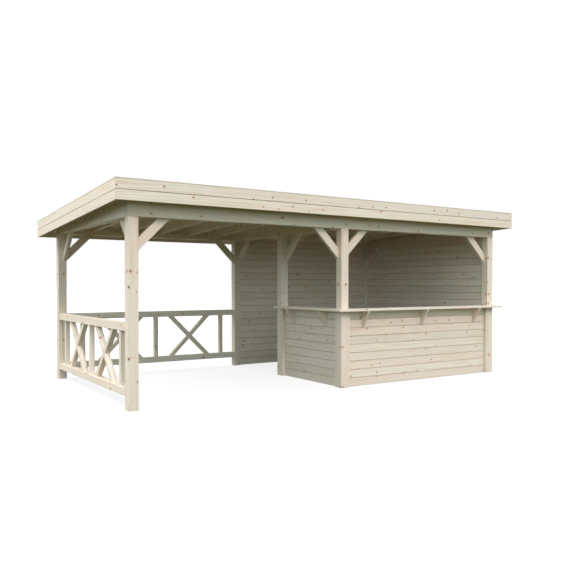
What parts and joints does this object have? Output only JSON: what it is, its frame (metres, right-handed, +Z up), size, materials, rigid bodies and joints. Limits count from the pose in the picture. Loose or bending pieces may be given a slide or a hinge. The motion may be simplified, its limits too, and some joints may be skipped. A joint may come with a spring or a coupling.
{
  "type": "wooden garden pavilion",
  "caption": "Open timber garden pavilion with a low lean-to roof, crossed railings round an open bay, and a board-walled bar with an L-shaped counter.",
  "frame": {"origin": "on the ground, under the middle of the roof", "axes": "+X along the front from the open bay to the bar, +Y from the front to the back, +Z up"},
  "size_m": [6.2, 3.48, 2.4502],
  "materials": {
    "posts_and_beams": "planed spruce, untreated, with small dark knots",
    "boards": "planed tongue-and-groove spruce boards, untreated",
    "counter_boards": "planed spruce, untreated",
    "bitumen_sheet": "bitumen sheet with mineral grit",
    "edge_strip": "planed strip, grey-beige"
  },
  "bodies": {
    "root": {"post_front_left": "posts_and_beams", "post_front_middle": "posts_and_beams", "post_front_right": "posts_and_beams", "post_bar_end": "posts_and_beams", "post_back_left": "posts_and_beams", "post_back_middle": "posts_and_beams", "post_back_right": "posts_and_beams", "beam_front": "posts_and_beams", "beam_back": "posts_and_beams", "beam_left": "posts_and_beams", "beam_middle": "posts_and_beams", "beam_right": "posts_and_beams", "braces_front": "posts_and_beams", "braces_back": "posts_and_beams", "braces_left": "posts_and_beams", "braces_middle": "posts_and_beams", "braces_right": "posts_and_beams", "roof_joists": "posts_and_beams", "rails_left": "posts_and_beams", "rails_back": "posts_and_beams", "railing_bars_left": "posts_and_beams", "railing_bars_back": "posts_and_beams", "roof_boards": "boards", "fascia_front_upper": "boards", "fascia_front_lower": "boards", "fascia_back_upper": "boards", "fascia_back_lower": "boards", "fascia_left_upper": "boards", "fascia_left_lower": "boards", "fascia_right_upper": "boards", "fascia_right_lower": "boards", "wall_back": "boards", "wall_right": "boards", "bar_wall_front": "boards", "bar_wall_side": "boards", "wall_battens": "boards", "counter_front": "counter_boards", "counter_side": "counter_boards", "counter_brackets": "counter_boards", "roof_covering": "bitumen_sheet", "roof_edge_front": "edge_strip", "roof_edge_back": "edge_strip", "roof_edge_left": "edge_strip", "roof_edge_right": "edge_strip"}
  },
  "joints": []
}
